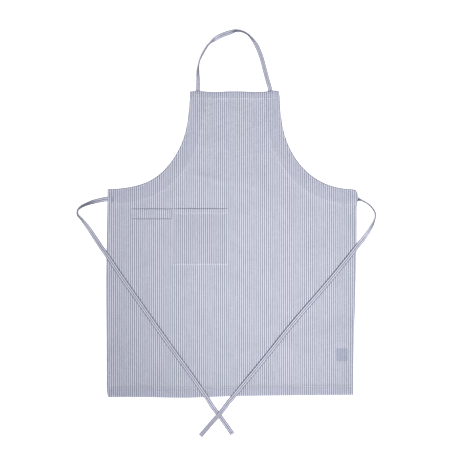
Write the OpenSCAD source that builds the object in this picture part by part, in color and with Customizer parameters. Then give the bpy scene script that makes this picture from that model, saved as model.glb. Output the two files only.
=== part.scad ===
// Butcher apron, laid flat on a table with its front facing up.
// Origin: middle of the resting plane under the cloth and the neck strap. +X to the right, +Y to the neck.

/* [Apron body] */
// Width of the skirt between its two side corners
skirt_width = 700; // [600:10:800]
// Width of the skirt along its bottom hem
hem_width = 694; // [600:2:700]
// How far the bottom hem's middle lies left of the centre line
hem_drift = 6; // [0:1:10]
// How much higher the hem's right corner lies than its left corner
hem_rise = 6; // [0:1:20]
// Length from the bib's top edge to the bottom hem
apron_length = 861; // [800:1:960]
// Width of the bib along its top edge
bib_width = 248; // [230:2:280]
// How far the bib's middle lies right of the centre line
bib_drift = 7.5; // [0:0.5:12]
// Depth of the armholes below the bib's top edge
armhole_depth = 276; // [240:2:320]
// Roundness of the left armhole, where 2 is an ellipse
left_armhole_power = 2.3; // [2:0.05:3]
// Roundness of the right armhole
right_armhole_power = 2.25; // [2:0.05:3]
// Thickness of the woven cloth
cloth_t = 0.8; // [0.5:0.1:1.2]

/* [Hems and facings] */
// Height of the turned hem along the bib's top
bib_hem = 21; // [15:1:30]
// Height of the turned hem along the bottom
bottom_hem = 28; // [20:1:40]
// Width of the turned hems down the skirt's sides
side_hem = 10; // [8:1:15]
// Width of the shaped facings sewn behind the armholes
facing_width = 45; // [35:1:50]

/* [Pocket and towel loop] */
// Width of the pocket
pocket_width = 157; // [120:1:160]
// Height of the pocket
pocket_height = 158; // [120:1:170]
// Height of the turned hem along the pocket's mouth
pocket_hem = 14; // [10:1:20]
// How far the pocket's mouth gapes from the skirt
pocket_gape = 6; // [5.8:0.1:8]
// Width of the towel loop, sewn end to sewn end
loop_width = 113; // [100:1:120]
// Height of the towel loop's band
loop_height = 30; // [20:1:40]
// How far the towel loop stands off the skirt at its middle
loop_gape = 6; // [5.8:0.1:8]

/* [Ties and neck strap] */
// Width of the tape that the ties and the neck strap are made from
tape_width = 12.5; // [11:0.5:13]
// Thickness of the folded and stitched tape
tape_t = 1.2; // [0.8:0.1:1.2]

/* [Label and thread] */
// Width of the care label behind the skirt
label_width = 36; // [25:1:40]
// Height of the care label
label_height = 37; // [25:1:50]
// Thickness of the care label
label_t = 0.3; // [0.2:0.1:0.5]
// Width of a line of stitching
thread_w = 0.8; // [0.5:0.1:1.2]
// Height of a line of stitching above the cloth
thread_h = 0.4; // [0.2:0.1:0.4]

/* [Hidden] */

cloth_colour = "lightsteelblue";
facing_colour = "#a3a9c4";
tape_colour = "#8d93b4";
thread_colour = "whitesmoke";
label_colour = "slategray";

// Outline of the cloth
bib_top = 342;
hem_y = bib_top - apron_length;
waist_y = bib_top - armhole_depth;
side_x = skirt_width / 2;
hem_left = [-hem_width / 2 - hem_drift, hem_y];
hem_right = [hem_width / 2 - hem_drift, hem_y + hem_rise];
bib_left = bib_drift - bib_width / 2;
bib_right = bib_drift + bib_width / 2;
armhole_steps = 20;

// Heights of the layers: turned edges under the panel, then the panel, then what is sewn on it
panel_top = 2 * cloth_t;
layer_gap = 0.05;
seam_margin = 6;
edge_stitch = 5;
hem_stitch = 2;

// Places of the pocket, the towel loop and the label
pocket_left = -168;
pocket_top = 12;
loop_right = pocket_left - 1;
loop_left = loop_right - loop_width;
loop_t = 1.2;
label_top = -380;
label_right = 328.5;
crown_cells = 14;
crown_power = 0.7;

// Sewn ends of the tapes
tail_t = 0.6;
strap_tail = 19;
tie_tail = 28;
left_tail_out = 12;
strap_left = -94;
strap_right = 106;
tie_y = 38;
notch_gap = 0.3;
bartack_h = 0.5;
bartack_w = 2.5;

// Routes of the tapes: x, y, height of the tape's lowest edge, and its tilt, 0 flat and 90 on edge
route_steps = 4;
neck_route = [
    [-94, 343, 0, 0], [-94, 370, 0, 25], [-95, 395, 0, 50], [-92, 422, 0, 78], [-84, 443, 0, 70],
    [-70, 467, 0, 72], [-60, 478, 0, 72], [-45, 490, 0, 28], [-28, 500, 0, 0], [-8, 507, 0, 0],
    [12, 512, 0, -42], [30, 509, 0, -54], [46, 500, 0, -56], [58, 487, 0, -42], [69, 471, 0, -12],
    [78, 451, 0, 0], [86, 427, 0, 0], [93, 399, 0, 0], [100, 371, 0, 0], [106, 344.5, 0, 0]
];
left_tie_route = [
    [-357, 38, 0.9, 0], [-367, 36, 0.9, 0], [-386, 32, 0, 14], [-404, 26, 0, 36], [-422, 18, 0, 48],
    [-433, 8, 0, 64], [-434, -5, 0, 60], [-422, -19, 0, 46], [-403, -43, 0, 20], [-380, -76, 1, 2],
    [-366, -96, 2.6, 0], [-340, -133, 2.6, 0], [-280, -224, 2.6, 0], [-186, -358, 2.6, 0],
    [-110, -463, 2.6, 0], [-77, -508, 2.6, 0], [-67, -523, 2.2, 0], [-52, -548, 0, 0],
    [-37, -568, 0, 0], [2, -623, 0, 0]
];
right_tie_route = [
    [353, 37, 0.2, -50], [358, 35.6, 0, -66], [364, 33, 0, -68], [384, 22, 0, -69],
    [397, 8, 0, -63], [403, -6, 0, -68], [400, -20, 0, -66], [394, -34, 0, -48], [384, -50, 0, -34],
    [372, -66, 1, -18], [361, -80, 2.6, -4], [346, -98, 2.6, 0], [276, -189, 2.6, 0],
    [172, -310, 2.6, 0], [88, -415, 2.6, 0], [7, -513, 2.6, 0], [-9, -531, 2.6, 0],
    [-23, -550.5, 1.9, 0], [-37, -568, 1.6, 0], [-60, -594, 1.6, 0], [-89, -628, 1.6, 0]
];

// Points of one armhole, from the bib's corner to the side corner, on a curve grown by `grow`
function armhole(side, grow) =
    let (
        power = side < 0 ? left_armhole_power : right_armhole_power,
        reach = side < 0 ? side_x + bib_left : side_x - bib_right
    )
    [for (i = [0:armhole_steps])
        let (turn = 90 * i / armhole_steps)
        [
            side * (side_x - (reach + grow) * pow(cos(turn), 2 / power)),
            bib_top - (armhole_depth + grow) * pow(sin(turn), 2 / power)
        ]
    ];

function reversed(list) = [for (i = [len(list) - 1:-1:0]) list[i]];

// Value of a smooth curve through b and c, where a and d are its neighbours
function between(a, b, c, d, t) =
    0.5 * (2 * b + (c - a) * t + (2 * a - 5 * b + 4 * c - d) * t * t
        + (3 * b - a - 3 * c + d) * t * t * t);

function smooth_route(route) =
    let (last = len(route) - 1)
    [
        for (i = [0:last - 1], j = [0:route_steps - 1])
            between(route[max(i - 1, 0)], route[i], route[i + 1], route[min(i + 2, last)],
                j / route_steps),
        route[last]
    ];

// Eight corners of the tape's section, across and through the tape
function tape_section() =
    let (
        w = tape_width / 2,
        t = tape_t / 2,
        c = tape_t / 4
    )
    [[w, -t + c], [w, t - c], [w - c, t], [-w + c, t], [-w, t - c], [-w, -t + c], [-w + c, -t], [w - c, -t]];

function tape_ring(points, i) =
    let (
        here = points[i],
        ahead = points[min(i + 1, len(points) - 1)] - points[max(i - 1, 0)],
        heading = [ahead[0], ahead[1]] / norm([ahead[0], ahead[1]]),
        tilt = here[3],
        centre_z = max(here[2], 0) + tape_width / 2 * abs(sin(tilt)) + tape_t / 2 * abs(cos(tilt))
    )
    [for (corner = tape_section())
        let (
            across = corner[0] * cos(tilt) - corner[1] * sin(tilt),
            up = corner[0] * sin(tilt) + corner[1] * cos(tilt)
        )
        [here[0] - heading[1] * across, here[1] + heading[0] * across, centre_z + up]
    ];

// Bulge of cloth that is sewn down at both ends of a span, from 0 at its ends to 1 at its middle
function crown(u) = u <= 0 || u >= 1 ? 0 : pow(sin(180 * u), crown_power);

function pocket_lift(x, y) =
    let (
        across = (x - pocket_left - seam_margin) / (pocket_width - 2 * seam_margin),
        up = (y - pocket_top + pocket_height - seam_margin) / (pocket_height - seam_margin)
    )
    panel_top + layer_gap + pocket_gape * crown(across) * sin(90 * min(max(up, 0), 1));

function loop_lift(x, y) =
    panel_top + layer_gap
        + loop_gape * crown((x - loop_left - seam_margin) / (loop_width - 2 * seam_margin));

function steps(low, high, count) = [for (i = [0:count]) low + (high - low) * i / count];

// Positions over a span with a flat seam margin at each end
function seam_steps(low, high, count) =
    concat([low], steps(low + seam_margin, high - seam_margin, count), [high]);

// Cloth of thickness t whose underside lies at lift(x, y) over the grid xs by ys
module shaped_cloth(xs, ys, lift, t) {
    nx = len(xs);
    ny = len(ys);
    low = [for (y = ys, x = xs) [x, y, lift(x, y)]];
    high = [for (p = low) p + [0, 0, t]];
    top = nx * ny;
    cells = [for (j = [0:ny - 2], i = [0:nx - 2]) j * nx + i];
    under = [for (c = cells, f = [[c, c + 1, c + nx], [c + 1, c + nx + 1, c + nx]]) f];
    over = [for (f = under) [f[2] + top, f[1] + top, f[0] + top]];
    rim = concat(
        [for (i = [0:nx - 1]) i],
        [for (j = [1:ny - 1]) j * nx + nx - 1],
        [for (i = [nx - 2:-1:0]) (ny - 1) * nx + i],
        [for (j = [ny - 2:-1:1]) j * nx]
    );
    count = len(rim);
    sides = [for (k = [0:count - 1])
        let (a = rim[k], b = rim[(k + 1) % count])
        for (f = [[a, a + top, b], [b, a + top, b + top]]) f
    ];
    polyhedron(points = concat(low, high), faces = concat(under, over, sides));
}

// Tape that follows a route
module tape(route) {
    points = smooth_route(route);
    rings = len(points);
    sides = len(tape_section());
    skin = [for (i = [0:rings - 2], k = [0:sides - 1])
        let (
            a = i * sides + k,
            b = i * sides + (k + 1) % sides
        )
        for (f = [[a, a + sides, b], [b, a + sides, b + sides]]) f
    ];
    polyhedron(
        points = [for (i = [0:rings - 1], p = tape_ring(points, i)) p],
        faces = concat(
            [[for (k = [0:sides - 1]) k]],
            skin,
            [[for (k = [sides - 1:-1:0]) (rings - 1) * sides + k]]
        )
    );
}

module panel_2d() {
    polygon(concat([hem_left, hem_right], reversed(armhole(1, 0)), armhole(-1, 0)));
}

// Region between two curves that run beside an armhole
module armhole_band_2d(side, near, far) {
    centre = [[side * side_x, bib_top]];
    intersection() {
        panel_2d();
        difference() {
            polygon(concat(armhole(side, far), centre));
            polygon(concat(armhole(side, near), centre));
        }
    }
}

// Strip of cloth on one side of the skirt, inside its edge
module side_strip_2d(side, inset, width, top_y) {
    low = side < 0 ? hem_left : hem_right;
    inner = [-side * (inset + width), 0];
    outer = [-side * inset, 0];
    high = [side * side_x, waist_y];
    intersection() {
        panel_2d();
        polygon([low + outer, high + outer, high + inner, low + inner]);
        translate([-side_x, hem_y])
            square([skirt_width, top_y - hem_y]);
    }
}

// Strip of cloth along the bottom, inside its edge
module bottom_strip_2d(inset, width) {
    past = (hem_right - hem_left) / 10;
    low = [0, inset];
    high = [0, inset + width];
    intersection() {
        panel_2d();
        polygon([
            hem_left - past + low, hem_right + past + low,
            hem_right + past + high, hem_left - past + high
        ]);
    }
}

module bib_strip_2d(inset, width) {
    intersection() {
        panel_2d();
        translate([-side_x, bib_top - inset - width])
            square([skirt_width, width]);
    }
}

module strap_notches_2d(wider) {
    for (x = [strap_left, strap_right])
        translate([x - tape_width / 2 - wider, bib_top - strap_tail - wider])
            square([tape_width + 2 * wider, strap_tail + wider]);
}

module tie_notch_2d(side, wider, past) {
    inner = side_x - tie_tail - wider;
    outer = side_x + past;
    translate([side < 0 ? -outer : inner, tie_y - tape_width / 2 - wider])
        square([outer - inner, tape_width + 2 * wider]);
}

// A straight line of stitching on the cloth, from p to q
module stitch_line(p, q, z = panel_top) {
    along = q - p;
    translate([p[0], p[1], z])
        rotate(atan2(along[1], along[0]))
            translate([0, -thread_w / 2, 0])
                cube([norm(along), thread_w, thread_h]);
}

module bartack(centre, width, height) {
    translate([centre[0] - width / 2, centre[1] - height / 2, panel_top])
        cube([width, height, bartack_h]);
}

module facing(side) {
    color(facing_colour)
        linear_extrude(cloth_t)
            difference() {
                armhole_band_2d(side, 0, facing_width);
                bib_strip_2d(0, bib_hem + notch_gap);
                tie_notch_2d(side, notch_gap, 1);
            }
}

module armhole_stitching(side) {
    color(thread_colour)
        translate([0, 0, panel_top])
            linear_extrude(thread_h)
                difference() {
                    union() {
                        armhole_band_2d(side, edge_stitch, edge_stitch + thread_w);
                        armhole_band_2d(side, facing_width - hem_stitch - thread_w, facing_width - hem_stitch);
                    }
                    bib_strip_2d(0, bib_hem + thread_w);
                    tie_notch_2d(side, notch_gap, 1);
                }
}

module side_stitching(side) {
    color(thread_colour)
        translate([0, 0, panel_top])
            linear_extrude(thread_h)
                difference() {
                    side_strip_2d(side, side_hem - hem_stitch - thread_w, thread_w, waist_y - facing_width - 1);
                    bottom_strip_2d(0, bottom_hem + thread_w);
                }
}

module tie_tail(side) {
    color(tape_colour)
        linear_extrude(tail_t)
            tie_notch_2d(side, 0, side < 0 ? left_tail_out : 0);
}

module tie_bartack(side) {
    color(thread_colour)
        bartack([side * (side_x - tie_tail / 2), tie_y], bartack_w, tape_width);
}

// The apron's one large cloth with its edges turned under
module body_panel() {
    color(cloth_colour) {
        translate([0, 0, cloth_t])
            linear_extrude(cloth_t)
                panel_2d();
        linear_extrude(cloth_t)
            difference() {
                union() {
                    bib_strip_2d(0, bib_hem);
                    bottom_strip_2d(0, bottom_hem);
                    for (side = [-1, 1])
                        side_strip_2d(side, 0, side_hem, waist_y - facing_width - notch_gap);
                }
                strap_notches_2d(notch_gap);
            }
    }
}

module left_armhole_facing() {
    facing(-1);
}

module right_armhole_facing() {
    facing(1);
}

module pocket_panel() {
    color(cloth_colour)
        shaped_cloth(
            seam_steps(pocket_left, pocket_left + pocket_width, crown_cells),
            concat([pocket_top - pocket_height],
                steps(pocket_top - pocket_height + seam_margin, pocket_top, crown_cells)),
            function(x, y) pocket_lift(x, y),
            cloth_t
        );
}

module towel_loop() {
    color(cloth_colour)
        shaped_cloth(
            seam_steps(loop_left, loop_right, crown_cells),
            [pocket_top - loop_height, pocket_top],
            function(x, y) loop_lift(x, y),
            loop_t
        );
}

module care_label() {
    color(label_colour)
        translate([label_right - label_width, label_top - label_height, cloth_t - label_t])
            cube([label_width, label_height, label_t]);
}

module neck_strap() {
    color(tape_colour)
        tape(neck_route);
}

// The two ends of the neck strap that are sewn inside the bib's hem
module neck_strap_tails() {
    color(tape_colour)
        linear_extrude(tail_t)
            strap_notches_2d(0);
}

module left_tie() {
    color(tape_colour)
        tape(left_tie_route);
}

module left_tie_tail() {
    tie_tail(-1);
}

module right_tie() {
    color(tape_colour)
        tape(right_tie_route);
}

module right_tie_tail() {
    tie_tail(1);
}

module bib_hem_stitching() {
    line_y = bib_top - bib_hem + hem_stitch;
    color(thread_colour)
        stitch_line([bib_left + 1, line_y], [bib_right - 1, line_y]);
}

module bottom_hem_stitching() {
    rise = [0, bottom_hem - hem_stitch];
    color(thread_colour)
        stitch_line(hem_left + rise + [1, 0], hem_right + rise - [1, 0]);
}

module left_side_stitching() {
    side_stitching(-1);
}

module right_side_stitching() {
    side_stitching(1);
}

module left_armhole_stitching() {
    armhole_stitching(-1);
}

module right_armhole_stitching() {
    armhole_stitching(1);
}

// Seam down both sides and along the bottom of the pocket
module pocket_seam_stitching() {
    seam_z = panel_top + layer_gap + cloth_t;
    left = pocket_left + hem_stitch;
    right = pocket_left + pocket_width - hem_stitch;
    low = pocket_top - pocket_height + hem_stitch;
    high = pocket_top - pocket_hem + hem_stitch - thread_w;
    color(thread_colour)
        union() {
            stitch_line([left, low], [left, high], seam_z);
            stitch_line([left, low], [right, low], seam_z);
            stitch_line([right, low], [right, high], seam_z);
        }
}

module pocket_hem_stitching() {
    line_y = pocket_top - pocket_hem + hem_stitch;
    color(thread_colour)
        shaped_cloth(
            seam_steps(pocket_left, pocket_left + pocket_width, crown_cells),
            [line_y, line_y + thread_w],
            function(x, y) pocket_lift(x, line_y) + cloth_t + layer_gap,
            thread_h
        );
}

// Dense bars of thread at the two ends of the pocket's mouth
module pocket_corner_bartacks() {
    seam_z = layer_gap + cloth_t;
    color(thread_colour)
        for (x = [pocket_left + bartack_w, pocket_left + pocket_width - bartack_w])
            translate([0, 0, seam_z])
                bartack([x, pocket_top - bartack_w], bartack_w, bartack_w);
}

module towel_loop_stitching() {
    seam_z = panel_top + layer_gap + loop_t;
    color(thread_colour)
        for (x = [loop_left + hem_stitch, loop_right - hem_stitch])
            stitch_line([x, pocket_top - loop_height + 1], [x, pocket_top - 1], seam_z);
}

module care_label_stitching() {
    line_x = label_right - hem_stitch;
    color(thread_colour)
        stitch_line([line_x, label_top - label_height], [line_x, label_top]);
}

module neck_strap_bartacks() {
    color(thread_colour)
        for (x = [strap_left, strap_right])
            bartack([x, bib_top - bib_hem / 3], tape_width, bartack_w);
}

module left_tie_bartack() {
    tie_bartack(-1);
}

module right_tie_bartack() {
    tie_bartack(1);
}

body_panel();
left_armhole_facing();
right_armhole_facing();
pocket_panel();
towel_loop();
care_label();
neck_strap();
neck_strap_tails();
left_tie();
left_tie_tail();
right_tie();
right_tie_tail();
bib_hem_stitching();
bottom_hem_stitching();
left_side_stitching();
right_side_stitching();
left_armhole_stitching();
right_armhole_stitching();
pocket_seam_stitching();
pocket_hem_stitching();
pocket_corner_bartacks();
towel_loop_stitching();
care_label_stitching();
neck_strap_bartacks();
left_tie_bartack();
right_tie_bartack();
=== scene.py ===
"""Butcher apron laid flat on a table, front up: its cloth, tapes and thread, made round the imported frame.

Metres, +X to the right, +Y to the neck, +Z up from the table.
"""
import math

import bpy
import numpy as np
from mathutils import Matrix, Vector, kdtree, noise
from mathutils.geometry import delaunay_2d_cdt


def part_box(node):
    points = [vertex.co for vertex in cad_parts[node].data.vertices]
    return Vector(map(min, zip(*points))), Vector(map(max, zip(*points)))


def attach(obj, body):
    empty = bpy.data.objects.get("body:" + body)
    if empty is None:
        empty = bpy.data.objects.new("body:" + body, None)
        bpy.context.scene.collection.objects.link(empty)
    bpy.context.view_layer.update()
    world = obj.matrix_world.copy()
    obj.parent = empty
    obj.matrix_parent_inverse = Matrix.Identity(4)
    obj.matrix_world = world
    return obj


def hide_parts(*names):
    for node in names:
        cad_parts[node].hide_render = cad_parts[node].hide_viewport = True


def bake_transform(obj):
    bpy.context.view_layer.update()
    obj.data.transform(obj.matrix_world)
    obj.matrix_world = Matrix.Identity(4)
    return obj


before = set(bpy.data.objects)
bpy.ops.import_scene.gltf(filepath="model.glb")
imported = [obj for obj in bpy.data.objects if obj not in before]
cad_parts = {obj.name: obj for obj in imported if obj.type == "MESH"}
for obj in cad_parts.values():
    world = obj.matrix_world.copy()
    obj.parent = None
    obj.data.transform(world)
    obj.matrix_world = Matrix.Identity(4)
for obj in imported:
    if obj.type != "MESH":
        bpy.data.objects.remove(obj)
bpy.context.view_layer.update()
random = np.random.default_rng(7)

# ---------------- sizes

# The cloth, from the frame
panel_low, panel_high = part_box("body_panel")
SIDE_X = panel_high[0]
BIB_TOP = panel_high[1]
HEM_Y = panel_low[1]
FACING_WIDTH = 0.045
WAIST_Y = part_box("left_armhole_facing")[0][1] + FACING_WIDTH
ARMHOLE_DEPTH = BIB_TOP - WAIST_Y
LINE_MARGIN = 0.001
bib_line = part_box("bib_hem_stitching")
BIB_LEFT = bib_line[0][0] - LINE_MARGIN
BIB_RIGHT = bib_line[1][0] + LINE_MARGIN
hem_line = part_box("bottom_hem_stitching")
HEM_LEFT = np.array([hem_line[0][0] - LINE_MARGIN, HEM_Y])
HEM_RISE = 0.006
HEM_RIGHT = np.array([hem_line[1][0] + LINE_MARGIN, HEM_Y + HEM_RISE])
# Each armhole is a quarter of a superellipse: its reach across and its power, by side
ARMHOLE_REACH = {-1: SIDE_X + BIB_LEFT, 1: SIDE_X - BIB_RIGHT}
ARMHOLE_POWER = {-1: 2.3, 1: 2.25}
SIDES = ((-1, "left"), (1, "right"))
BIB_HEM = 0.021
BOTTOM_HEM = 0.028
SIDE_HEM = 0.010
HEMS = {"bottom": BOTTOM_HEM, "top": BIB_HEM, "left": SIDE_HEM, "right": SIDE_HEM}
HEM_STITCH = 0.002
EDGE_STITCH = 0.005
SEAM_WIDTH = 0.0009

# Heights: the least gap over the table, one cloth, and the panel's face on one and on two layers
CLEAR = 0.00005
CLOTH = 0.0005
FACE_SINGLE = 0.0010
FACE_DOUBLE = 0.0016
# How deep stitching presses the face in, and how far the face rounds off over the rim's width
PINCH = 0.0003
ROUND_OFF = 0.0008
RIM = 0.0028
# The width over which a hem starts, in its shading and in its height
STEP = 0.0006
SLOPE = 0.008
# How much painted shade the facings put on the panel where they show through, against 1 for its turned hems
FACING_SHADE = 0.85

# Tape of the ties and the neck strap. LOWERED brings its routes down onto Blender's flatter cloth
TAPE_WIDTH = 0.0125
TAPE_T = 0.0008
TAPE_RINGS = 0.004
LOWERED = 0.65
STRAP_LEFT = -0.094
STRAP_RIGHT = 0.106
STRAP_TAIL = 0.019
TIE_Y = 0.038
TIE_TAIL = 0.028
TAIL_LIFT = 0.0005

# Thread: a stitch's pitch and length, and the thread's radius on seams, armholes, tapes and bartacks
STITCH_PITCH = 0.0034
STITCH_LENGTH = 0.0027
TAPE_STITCH = 0.0022
THREAD_RADIUS = 0.00054
ARMHOLE_THREAD = 0.0004
TAPE_THREAD = 0.00022
BARTACK_THREAD = 0.0003
BARTACK_PITCH = 0.00062
BARTACK = 0.0025
CORNER_BARTACK = 0.0035

# Pitch of the woven stripes, and of the stripes as they fall on the folded tape
STRIPE = 0.0059
TAPE_STRIPE = 0.0052

# Routes of the tapes: x, y, height of the tape's lowest edge, its tilt (90 is on edge), and how much of
# its plain side shows
NECK_ROUTE = [
    (-0.094, 0.323, 0.0007, 0, 0), (-0.094, 0.343, 0.0005, 0, 0.8), (-0.094, 0.37, 0, 25, 0.9),
    (-0.095, 0.395, 0, 50, 0.9), (-0.092, 0.422, 0, 78, 0.8), (-0.084, 0.443, 0, 70, 0.8),
    (-0.07, 0.467, 0, 72, 0.8), (-0.06, 0.478, 0, 72, 0.8), (-0.045, 0.49, 0, 28, 0.3),
    (-0.028, 0.5, 0, 0, 0.1), (-0.008, 0.507, 0, 0, 0.1), (0.012, 0.512, 0, -42, 0.4),
    (0.03, 0.509, 0, -54, 0.6), (0.046, 0.5, 0, -56, 0.5), (0.058, 0.487, 0, -42, 0.3),
    (0.069, 0.471, 0, -12, 0.4), (0.078, 0.451, 0, 0, 0.6), (0.086, 0.427, 0, 0, 0.7),
    (0.093, 0.399, 0, 0, 0.7), (0.1, 0.371, 0, 0, 0.6), (0.106, 0.3445, 0.0005, 0, 0.2),
    (0.106, 0.323, 0.0007, 0, 0),
]
LEFT_TIE_ROUTE = [
    (-0.322, 0.038, 0.0007, 0, 0), (-0.344, 0.038, 0.0007, 0, 0), (-0.357, 0.038, 0.0006, 0, 0),
    (-0.367, 0.036, 0.0004, 0, 0), (-0.386, 0.032, 0, 14, 0.5), (-0.404, 0.026, 0, 36, 0.7),
    (-0.422, 0.018, 0, 48, 0.9), (-0.433, 0.008, 0, 64, 0.9), (-0.434, -0.005, 0, 60, 0.9),
    (-0.422, -0.019, 0, 46, 0.6), (-0.403, -0.043, 0, 20, 0.3), (-0.38, -0.076, 0.001, 2, 0.1),
    (-0.366, -0.096, 0.0026, 0, 0), (-0.34, -0.133, 0.0026, 0, 0), (-0.28, -0.224, 0.0026, 0, 0),
    (-0.186, -0.358, 0.0026, 0, 0), (-0.11, -0.463, 0.0026, 0, 0), (-0.077, -0.508, 0.0026, 0, 0),
    (-0.067, -0.523, 0.0022, 0, 0), (-0.052, -0.548, 0, 0, 0), (-0.037, -0.568, 0, 0, 0),
    (0.002, -0.623, 0, 0, 0),
]
RIGHT_TIE_ROUTE = [
    (0.322, 0.038, 0.0007, 0, 0), (0.342, 0.038, 0.0007, 0, 0), (0.3495, 0.0379, 0.0005, -8, 0.5),
    (0.353, 0.037, 0.0002, -50, 0.8), (0.358, 0.0356, 0, -66, 0.9), (0.364, 0.033, 0, -68, 0.9),
    (0.384, 0.022, 0, -69, 1), (0.397, 0.008, 0, -63, 1), (0.403, -0.006, 0, -68, 1),
    (0.4, -0.02, 0, -66, 1), (0.394, -0.034, 0, -48, 0.9), (0.384, -0.05, 0, -34, 0.6),
    (0.372, -0.066, 0.001, -18, 0.3), (0.361, -0.08, 0.0026, -4, 0.1), (0.346, -0.098, 0.0026, 0, 0),
    (0.276, -0.189, 0.0026, 0, 0), (0.172, -0.31, 0.0026, 0, 0), (0.088, -0.415, 0.0026, 0, 0),
    (0.007, -0.513, 0.0026, 0, 0), (-0.009, -0.531, 0.0026, 0, 0), (-0.023, -0.5505, 0.0019, 0, 0.2),
    (-0.037, -0.568, 0.0016, 0, 0.8), (-0.06, -0.594, 0.0016, 0, 1), (-0.089, -0.628, 0.0016, 0, 1),
]

# ---------------- camera, light and table

# How much of the table the picture shows across, and the place at its middle
PICTURE_WIDTH = 1.2949
PICTURE_CENTRE = (-0.0056, -0.0481)
LENS = 85
SENSOR = 36
SKY = 0.26
SKY_TINT = (0.92, 0.965, 1.11, 1)
# The key light makes a pool of light on the table, with a centre and a reach
KEY = 2290
KEY_TINT = (1.0, 0.965, 0.90)
KEY_PLACE = (0.72, -5.2, 4.4)
KEY_SIZE = 0.48
KEY_CENTRE = (0.10, 0.06, 0)
KEY_REACH = 1.02
# The table lies just under the frame's zero
TABLE_REACH = 20
TABLE_DROP = 0.0003
TABLE_WHITE = (0.93, 0.93, 0.94, 1)
GLOW = 0.76


def linked(name, data):
    """A new object with this data, in the scene."""
    obj = bpy.data.objects.new(name, data)
    bpy.context.scene.collection.objects.link(obj)
    return obj


def level_square(name, reach):
    """A level square round the origin, reaching this far each way."""
    data = bpy.data.meshes.new(name)
    corners = [(-reach, -reach, 0), (reach, -reach, 0), (reach, reach, 0), (-reach, reach, 0)]
    data.from_pydata(corners, [], [(0, 1, 2, 3)])
    return linked(name, data)


def add_camera():
    """Camera straight above the apron, with +Y at the top of the picture."""
    data = bpy.data.cameras.new("camera")
    data.lens = LENS
    data.sensor_width = SENSOR
    data.clip_end = 50
    camera = linked("camera", data)
    camera.location = (*PICTURE_CENTRE, PICTURE_WIDTH * LENS / SENSOR)
    bpy.context.scene.camera = camera
    bpy.context.scene.view_settings.view_transform = "Standard"


def add_lights():
    """A soft key light from beyond the hem, and a white sky."""
    data = bpy.data.lights.new("key_light", "SPOT")
    data.energy = KEY
    data.color = KEY_TINT
    data.shadow_soft_size = KEY_SIZE
    data.spot_blend = 1
    beam = Vector(KEY_CENTRE) - Vector(KEY_PLACE)
    data.spot_size = 2 * math.atan(KEY_REACH / beam.length)
    key = linked("key_light", data)
    key.location = KEY_PLACE
    key.rotation_euler = beam.to_track_quat("-Z", "Y").to_euler()
    world = bpy.data.worlds.new("sky")
    world.use_nodes = True
    background = world.node_tree.nodes["Background"]
    background.inputs["Color"].default_value = SKY_TINT
    background.inputs["Strength"].default_value = SKY
    bpy.context.scene.world = world


def add_table():
    """The plain white table that the apron lies on."""
    table = level_square("table", TABLE_REACH)
    table.location.z = -TABLE_DROP
    material = bpy.data.materials.new("table_top")
    material.use_nodes = True
    surface = material.node_tree.nodes["Principled BSDF"]
    surface.inputs["Base Color"].default_value = TABLE_WHITE
    surface.inputs["Roughness"].default_value = 0.8
    surface.inputs["Emission Color"].default_value = (1, 1, 1, 1)
    surface.inputs["Emission Strength"].default_value = GLOW
    table.data.materials.append(material)


# ---------------- materials


class Surface:
    """A material's node tree, with short ways to add nodes and join them."""

    def __init__(self, name, roughness, sheen):
        self.material = bpy.data.materials.new(name)
        self.material.use_nodes = True
        self.tree = self.material.node_tree
        self.shader = self.tree.nodes["Principled BSDF"]
        self.shader.inputs["Roughness"].default_value = roughness
        self.shader.inputs["Sheen Weight"].default_value = sheen
        self.shader.inputs["Sheen Roughness"].default_value = 0.5
        self.shader.inputs["Specular IOR Level"].default_value = 0.25

    def add(self, kind, output, inputs, **settings):
        node = self.tree.nodes.new(kind)
        for name, value in settings.items():
            setattr(node, name, value)
        for socket, value in inputs.items():
            if isinstance(value, bpy.types.NodeSocket):
                self.tree.links.new(value, node.inputs[socket])
            else:
                node.inputs[socket].default_value = value
        return node.outputs[output]

    def math(self, operation, *values):
        return self.add("ShaderNodeMath", 0, dict(enumerate(values)), operation=operation)

    def wave(self, value, pitch):
        return self.math("SINE", self.math("MULTIPLY", value, 2 * math.pi / pitch))

    def place(self):
        return self.add("ShaderNodeTexCoord", "Object", {})

    def attribute(self, name, output="Fac"):
        return self.add("ShaderNodeAttribute", output, {}, attribute_name=name)

    def split(self, vector):
        return self.add("ShaderNodeSeparateXYZ", 0, {0: vector}).node.outputs

    def joined(self, x, y):
        return self.add("ShaderNodeCombineXYZ", 0, {0: x, 1: y})

    def noise(self, vector, scale, detail=2.0):
        inputs = {"Vector": vector, "Scale": scale, "Detail": detail}
        return self.add("ShaderNodeTexNoise", "Fac", inputs)

    def ramp(self, value, low, high, to_low=0.0, to_high=1.0):
        inputs = {"Value": value, "From Min": low, "From Max": high, "To Min": to_low, "To Max": to_high}
        return self.add("ShaderNodeMapRange", 0, inputs, interpolation_type="SMOOTHSTEP")

    def mottled(self, place, scale, detail=2.0, low=0.0, high=1.0):
        return self.ramp(self.noise(place, scale, detail), 0.3, 0.7, low, high)

    def blended(self, factor, a, b, way="MIX"):
        inputs = {0: factor, 6: a, 7: b}
        return self.add("ShaderNodeMix", 2, inputs, data_type="RGBA", blend_type=way)

    def times(self, a, b):
        return self.blended(1.0, a, b, "MULTIPLY")

    def tinted(self, colour, amount, tint):
        return self.times(colour, self.blended(amount, WHITE, tint))

    def bump(self, height, distance, strength, under=None):
        inputs = {"Height": height, "Distance": distance, "Strength": strength}
        if under is not None:
            inputs["Normal"] = under
        return self.add("ShaderNodeBump", 0, inputs)

    def finish(self, colour, normal):
        self.tree.links.new(colour, self.shader.inputs["Base Color"])
        self.tree.links.new(normal, self.shader.inputs["Normal"])
        return self.material


WHITE = (1, 1, 1, 1)
BLACK = (0, 0, 0, 1)
WHITE_YARN = (0.775, 0.80, 0.915, 1)
BLUE_YARN = (0.288, 0.317, 0.428, 1)
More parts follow.
